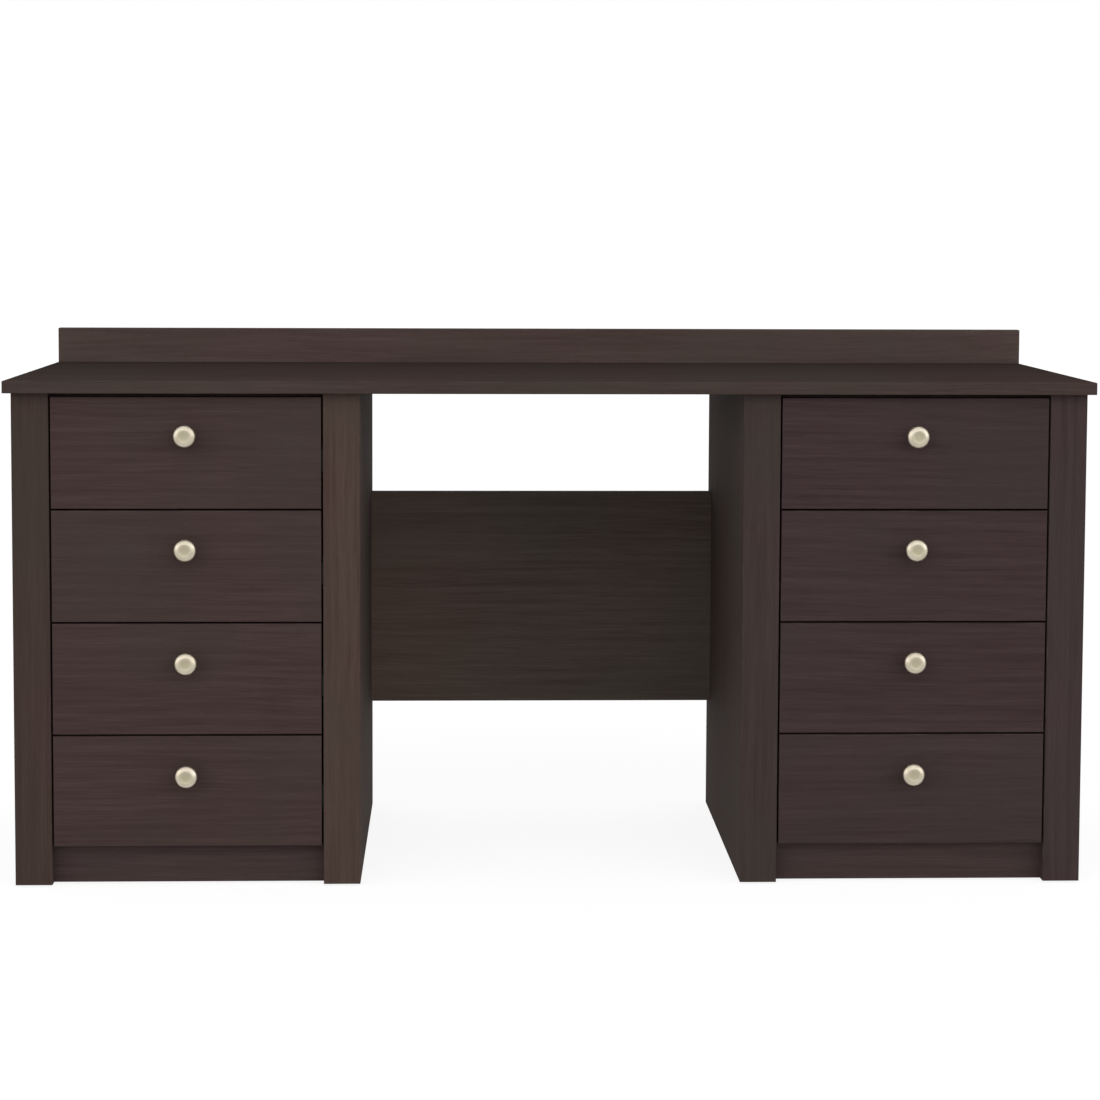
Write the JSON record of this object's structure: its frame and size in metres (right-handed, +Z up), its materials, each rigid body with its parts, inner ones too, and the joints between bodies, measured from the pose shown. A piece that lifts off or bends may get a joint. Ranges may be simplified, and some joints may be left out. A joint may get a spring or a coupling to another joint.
{
  "type": "desk",
  "caption": "Wide double-pedestal desk in dark woodgrain board with drawers on telescopic runners, round knobs, a low upstand along the back and a modesty panel across the kneehole.",
  "frame": {"origin": "on the floor, halfway across the width and halfway from the knobs' faces to the back", "axes": "+X to the right seen from the front, +Y to the back, +Z up"},
  "size_m": [1.6, 0.511, 0.806],
  "materials": {
    "dark_board": "dark brown woodgrain melamine, matt",
    "dark_hardboard": "dark brown printed hardboard, matt",
    "drawer_lining": "pale foil-wrapped board, matt",
    "satin_nickel": "satin nickel with a warm tint",
    "zinc_plated_steel": "blackened zinc plate",
    "bright_zinc_steel": "bright zinc plate, on screws",
    "dark_plastic": "dark brown moulded plastic"
  },
  "bodies": {
    "carcass": {"desktop": "dark_board", "upstand": "dark_board", "modesty_panel": "dark_board", "corner_blocks": "dark_plastic", "plinths": "dark_board", "base_panels": "dark_board", "back_panels": "dark_hardboard", "top_rails": "dark_board", "packing_battens": "dark_board", "floor_glides": "dark_plastic", "cabinet_rails": "zinc_plated_steel", "outer_gable_left": "dark_board", "inner_gable_left": "dark_board", "outer_stile_left": "dark_board", "inner_stile_left": "dark_board", "outer_gable_right": "dark_board", "inner_gable_right": "dark_board", "outer_stile_right": "dark_board", "inner_stile_right": "dark_board"},
    "drawer_left_1": {"drawer_front_left_1": "dark_board", "drawer_box_left_1": "drawer_lining", "knob_left_1": "satin_nickel", "drawer_rails_left_1": "zinc_plated_steel"},
    "runner_left_1": {"middle_rails_left_1": "zinc_plated_steel"},
    "drawer_left_2": {"drawer_front_left_2": "dark_board", "drawer_box_left_2": "drawer_lining", "knob_left_2": "satin_nickel", "drawer_rails_left_2": "zinc_plated_steel"},
    "runner_left_2": {"middle_rails_left_2": "zinc_plated_steel"},
    "drawer_left_3": {"drawer_front_left_3": "dark_board", "drawer_box_left_3": "drawer_lining", "knob_left_3": "satin_nickel", "drawer_rails_left_3": "zinc_plated_steel"},
    "runner_left_3": {"middle_rails_left_3": "zinc_plated_steel"},
    "drawer_left_4": {"drawer_front_left_4": "dark_board", "drawer_box_left_4": "drawer_lining", "knob_left_4": "satin_nickel", "drawer_rails_left_4": "zinc_plated_steel"},
    "runner_left_4": {"middle_rails_left_4": "zinc_plated_steel"},
    "drawer_right_1": {"drawer_front_right_1": "dark_board", "drawer_box_right_1": "drawer_lining", "knob_right_1": "satin_nickel", "drawer_rails_right_1": "zinc_plated_steel"},
    "runner_right_1": {"middle_rails_right_1": "zinc_plated_steel"},
    "drawer_right_2": {"drawer_front_right_2": "dark_board", "drawer_box_right_2": "drawer_lining", "knob_right_2": "satin_nickel", "drawer_rails_right_2": "zinc_plated_steel"},
    "runner_right_2": {"middle_rails_right_2": "zinc_plated_steel"},
    "drawer_right_3": {"drawer_front_right_3": "dark_board", "drawer_box_right_3": "drawer_lining", "knob_right_3": "satin_nickel", "drawer_rails_right_3": "zinc_plated_steel"},
    "runner_right_3": {"middle_rails_right_3": "zinc_plated_steel"},
    "drawer_right_4": {"drawer_front_right_4": "dark_board", "drawer_box_right_4": "drawer_lining", "knob_right_4": "satin_nickel", "drawer_rails_right_4": "zinc_plated_steel"},
    "runner_right_4": {"middle_rails_right_4": "zinc_plated_steel"}
  },
  "joints": [
    {"name": "drawer_left_1_slide", "type": "slide", "parent": "carcass", "child": "drawer_left_1", "axis": [0, -1, 0], "range_m": [0, 0.4]},
    {"name": "runner_left_1_slide", "type": "slide", "parent": "carcass", "child": "runner_left_1", "axis": [0, -1, 0], "range_m": [0, 0.2]},
    {"name": "drawer_left_2_slide", "type": "slide", "parent": "carcass", "child": "drawer_left_2", "axis": [0, -1, 0], "range_m": [0, 0.4]},
    {"name": "runner_left_2_slide", "type": "slide", "parent": "carcass", "child": "runner_left_2", "axis": [0, -1, 0], "range_m": [0, 0.2]},
    {"name": "drawer_left_3_slide", "type": "slide", "parent": "carcass", "child": "drawer_left_3", "axis": [0, -1, 0], "range_m": [0, 0.4]},
    {"name": "runner_left_3_slide", "type": "slide", "parent": "carcass", "child": "runner_left_3", "axis": [0, -1, 0], "range_m": [0, 0.2]},
    {"name": "drawer_left_4_slide", "type": "slide", "parent": "carcass", "child": "drawer_left_4", "axis": [0, -1, 0], "range_m": [0, 0.4]},
    {"name": "runner_left_4_slide", "type": "slide", "parent": "carcass", "child": "runner_left_4", "axis": [0, -1, 0], "range_m": [0, 0.2]},
    {"name": "drawer_right_1_slide", "type": "slide", "parent": "carcass", "child": "drawer_right_1", "axis": [0, -1, 0], "range_m": [0, 0.4]},
    {"name": "runner_right_1_slide", "type": "slide", "parent": "carcass", "child": "runner_right_1", "axis": [0, -1, 0], "range_m": [0, 0.2]},
    {"name": "drawer_right_2_slide", "type": "slide", "parent": "carcass", "child": "drawer_right_2", "axis": [0, -1, 0], "range_m": [0, 0.4]},
    {"name": "runner_right_2_slide", "type": "slide", "parent": "carcass", "child": "runner_right_2", "axis": [0, -1, 0], "range_m": [0, 0.2]},
    {"name": "drawer_right_3_slide", "type": "slide", "parent": "carcass", "child": "drawer_right_3", "axis": [0, -1, 0], "range_m": [0, 0.4]},
    {"name": "runner_right_3_slide", "type": "slide", "parent": "carcass", "child": "runner_right_3", "axis": [0, -1, 0], "range_m": [0, 0.2]},
    {"name": "drawer_right_4_slide", "type": "slide", "parent": "carcass", "child": "drawer_right_4", "axis": [0, -1, 0], "range_m": [0, 0.4]},
    {"name": "runner_right_4_slide", "type": "slide", "parent": "carcass", "child": "runner_right_4", "axis": [0, -1, 0], "range_m": [0, 0.2]}
  ],
  "couplings": [
    {"joint": "runner_left_1_slide", "follows": "drawer_left_1_slide", "ratio": 0.5},
    {"joint": "runner_left_2_slide", "follows": "drawer_left_2_slide", "ratio": 0.5},
    {"joint": "runner_left_3_slide", "follows": "drawer_left_3_slide", "ratio": 0.5},
    {"joint": "runner_left_4_slide", "follows": "drawer_left_4_slide", "ratio": 0.5},
    {"joint": "runner_right_1_slide", "follows": "drawer_right_1_slide", "ratio": 0.5},
    {"joint": "runner_right_2_slide", "follows": "drawer_right_2_slide", "ratio": 0.5},
    {"joint": "runner_right_3_slide", "follows": "drawer_right_3_slide", "ratio": 0.5},
    {"joint": "runner_right_4_slide", "follows": "drawer_right_4_slide", "ratio": 0.5}
  ]
}
